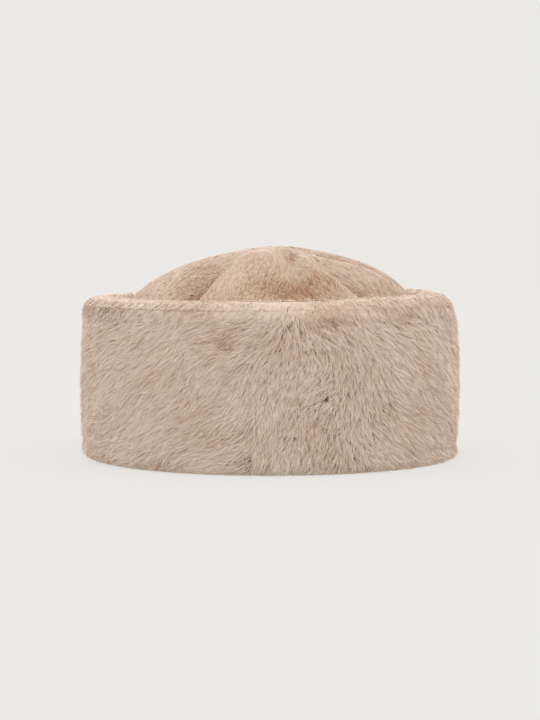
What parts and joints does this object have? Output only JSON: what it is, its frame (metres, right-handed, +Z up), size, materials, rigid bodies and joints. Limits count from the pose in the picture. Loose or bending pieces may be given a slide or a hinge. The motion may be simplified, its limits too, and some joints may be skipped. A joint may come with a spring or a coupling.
{
  "type": "fur pillbox hat",
  "caption": "Round beige fur hat: a deep turned-up band with a rolled top edge round a hollow cap whose low soft crown lies in folds.",
  "frame": {"origin": "centre of the hat's box, on the surface that the foot of the band rests on", "axes": "+Z up out of the crown, the front of the hat faces -Y, +X to the right of someone who looks at the front"},
  "size_m": [0.2414, 0.2407, 0.1329],
  "materials": {
    "band_fur": "beige plush fur, short combed pile",
    "crown_fur": "beige plush fur, short soft pile"
  },
  "bodies": {
    "root": {"band": "band_fur", "crown": "crown_fur"}
  },
  "joints": []
}
